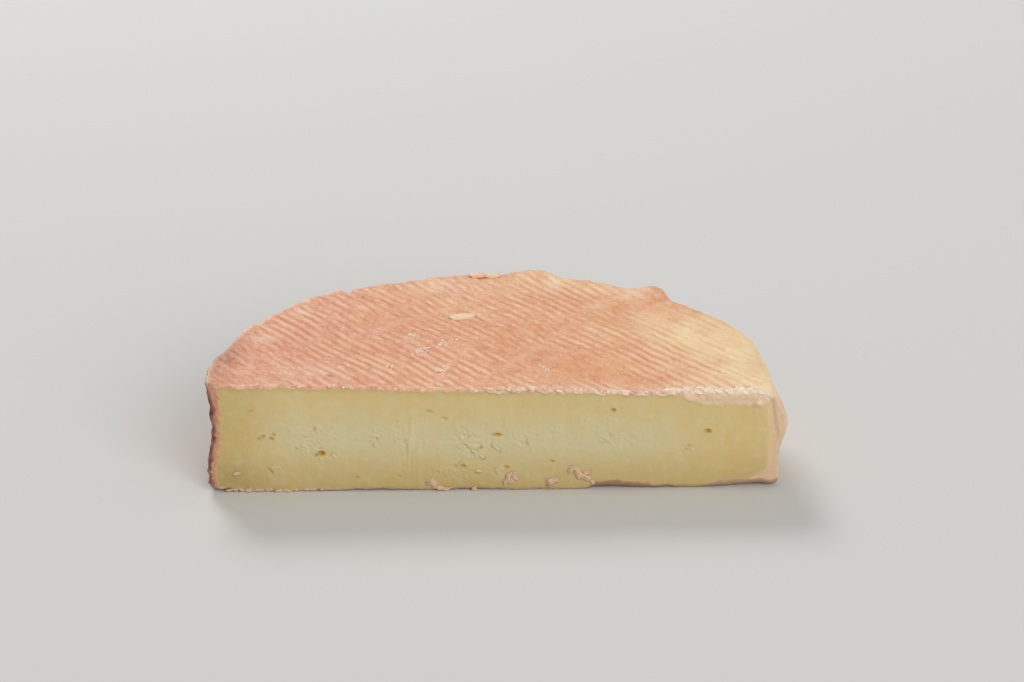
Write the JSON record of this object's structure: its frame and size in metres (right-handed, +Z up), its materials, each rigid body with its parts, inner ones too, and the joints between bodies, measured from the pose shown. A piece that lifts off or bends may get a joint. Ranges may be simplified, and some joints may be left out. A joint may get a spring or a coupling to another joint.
{
  "type": "munster half wheel",
  "caption": "Half of a small washed-rind cheese wheel: ridged pink-orange rind on top, round side and base, and a flat pale yellow knife cut.",
  "frame": {"origin": "middle of the base: the centre of the footprint's bounding rectangle, on the surface the cheese rests on", "axes": "+X along the knife cut, to the right for someone facing it; -Y out of the cut face; +Z up, through the top rind"},
  "size_m": [0.184, 0.1028, 0.0374],
  "materials": {
    "rind": "damp, finely wrinkled washed rind, salmon pink to cream, marked by mat ridges",
    "paste": "smooth pale yellow paste with a chalky middle and a few small holes"
  },
  "bodies": {
    "root": {"half_wheel": "rind"}
  },
  "joints": []
}
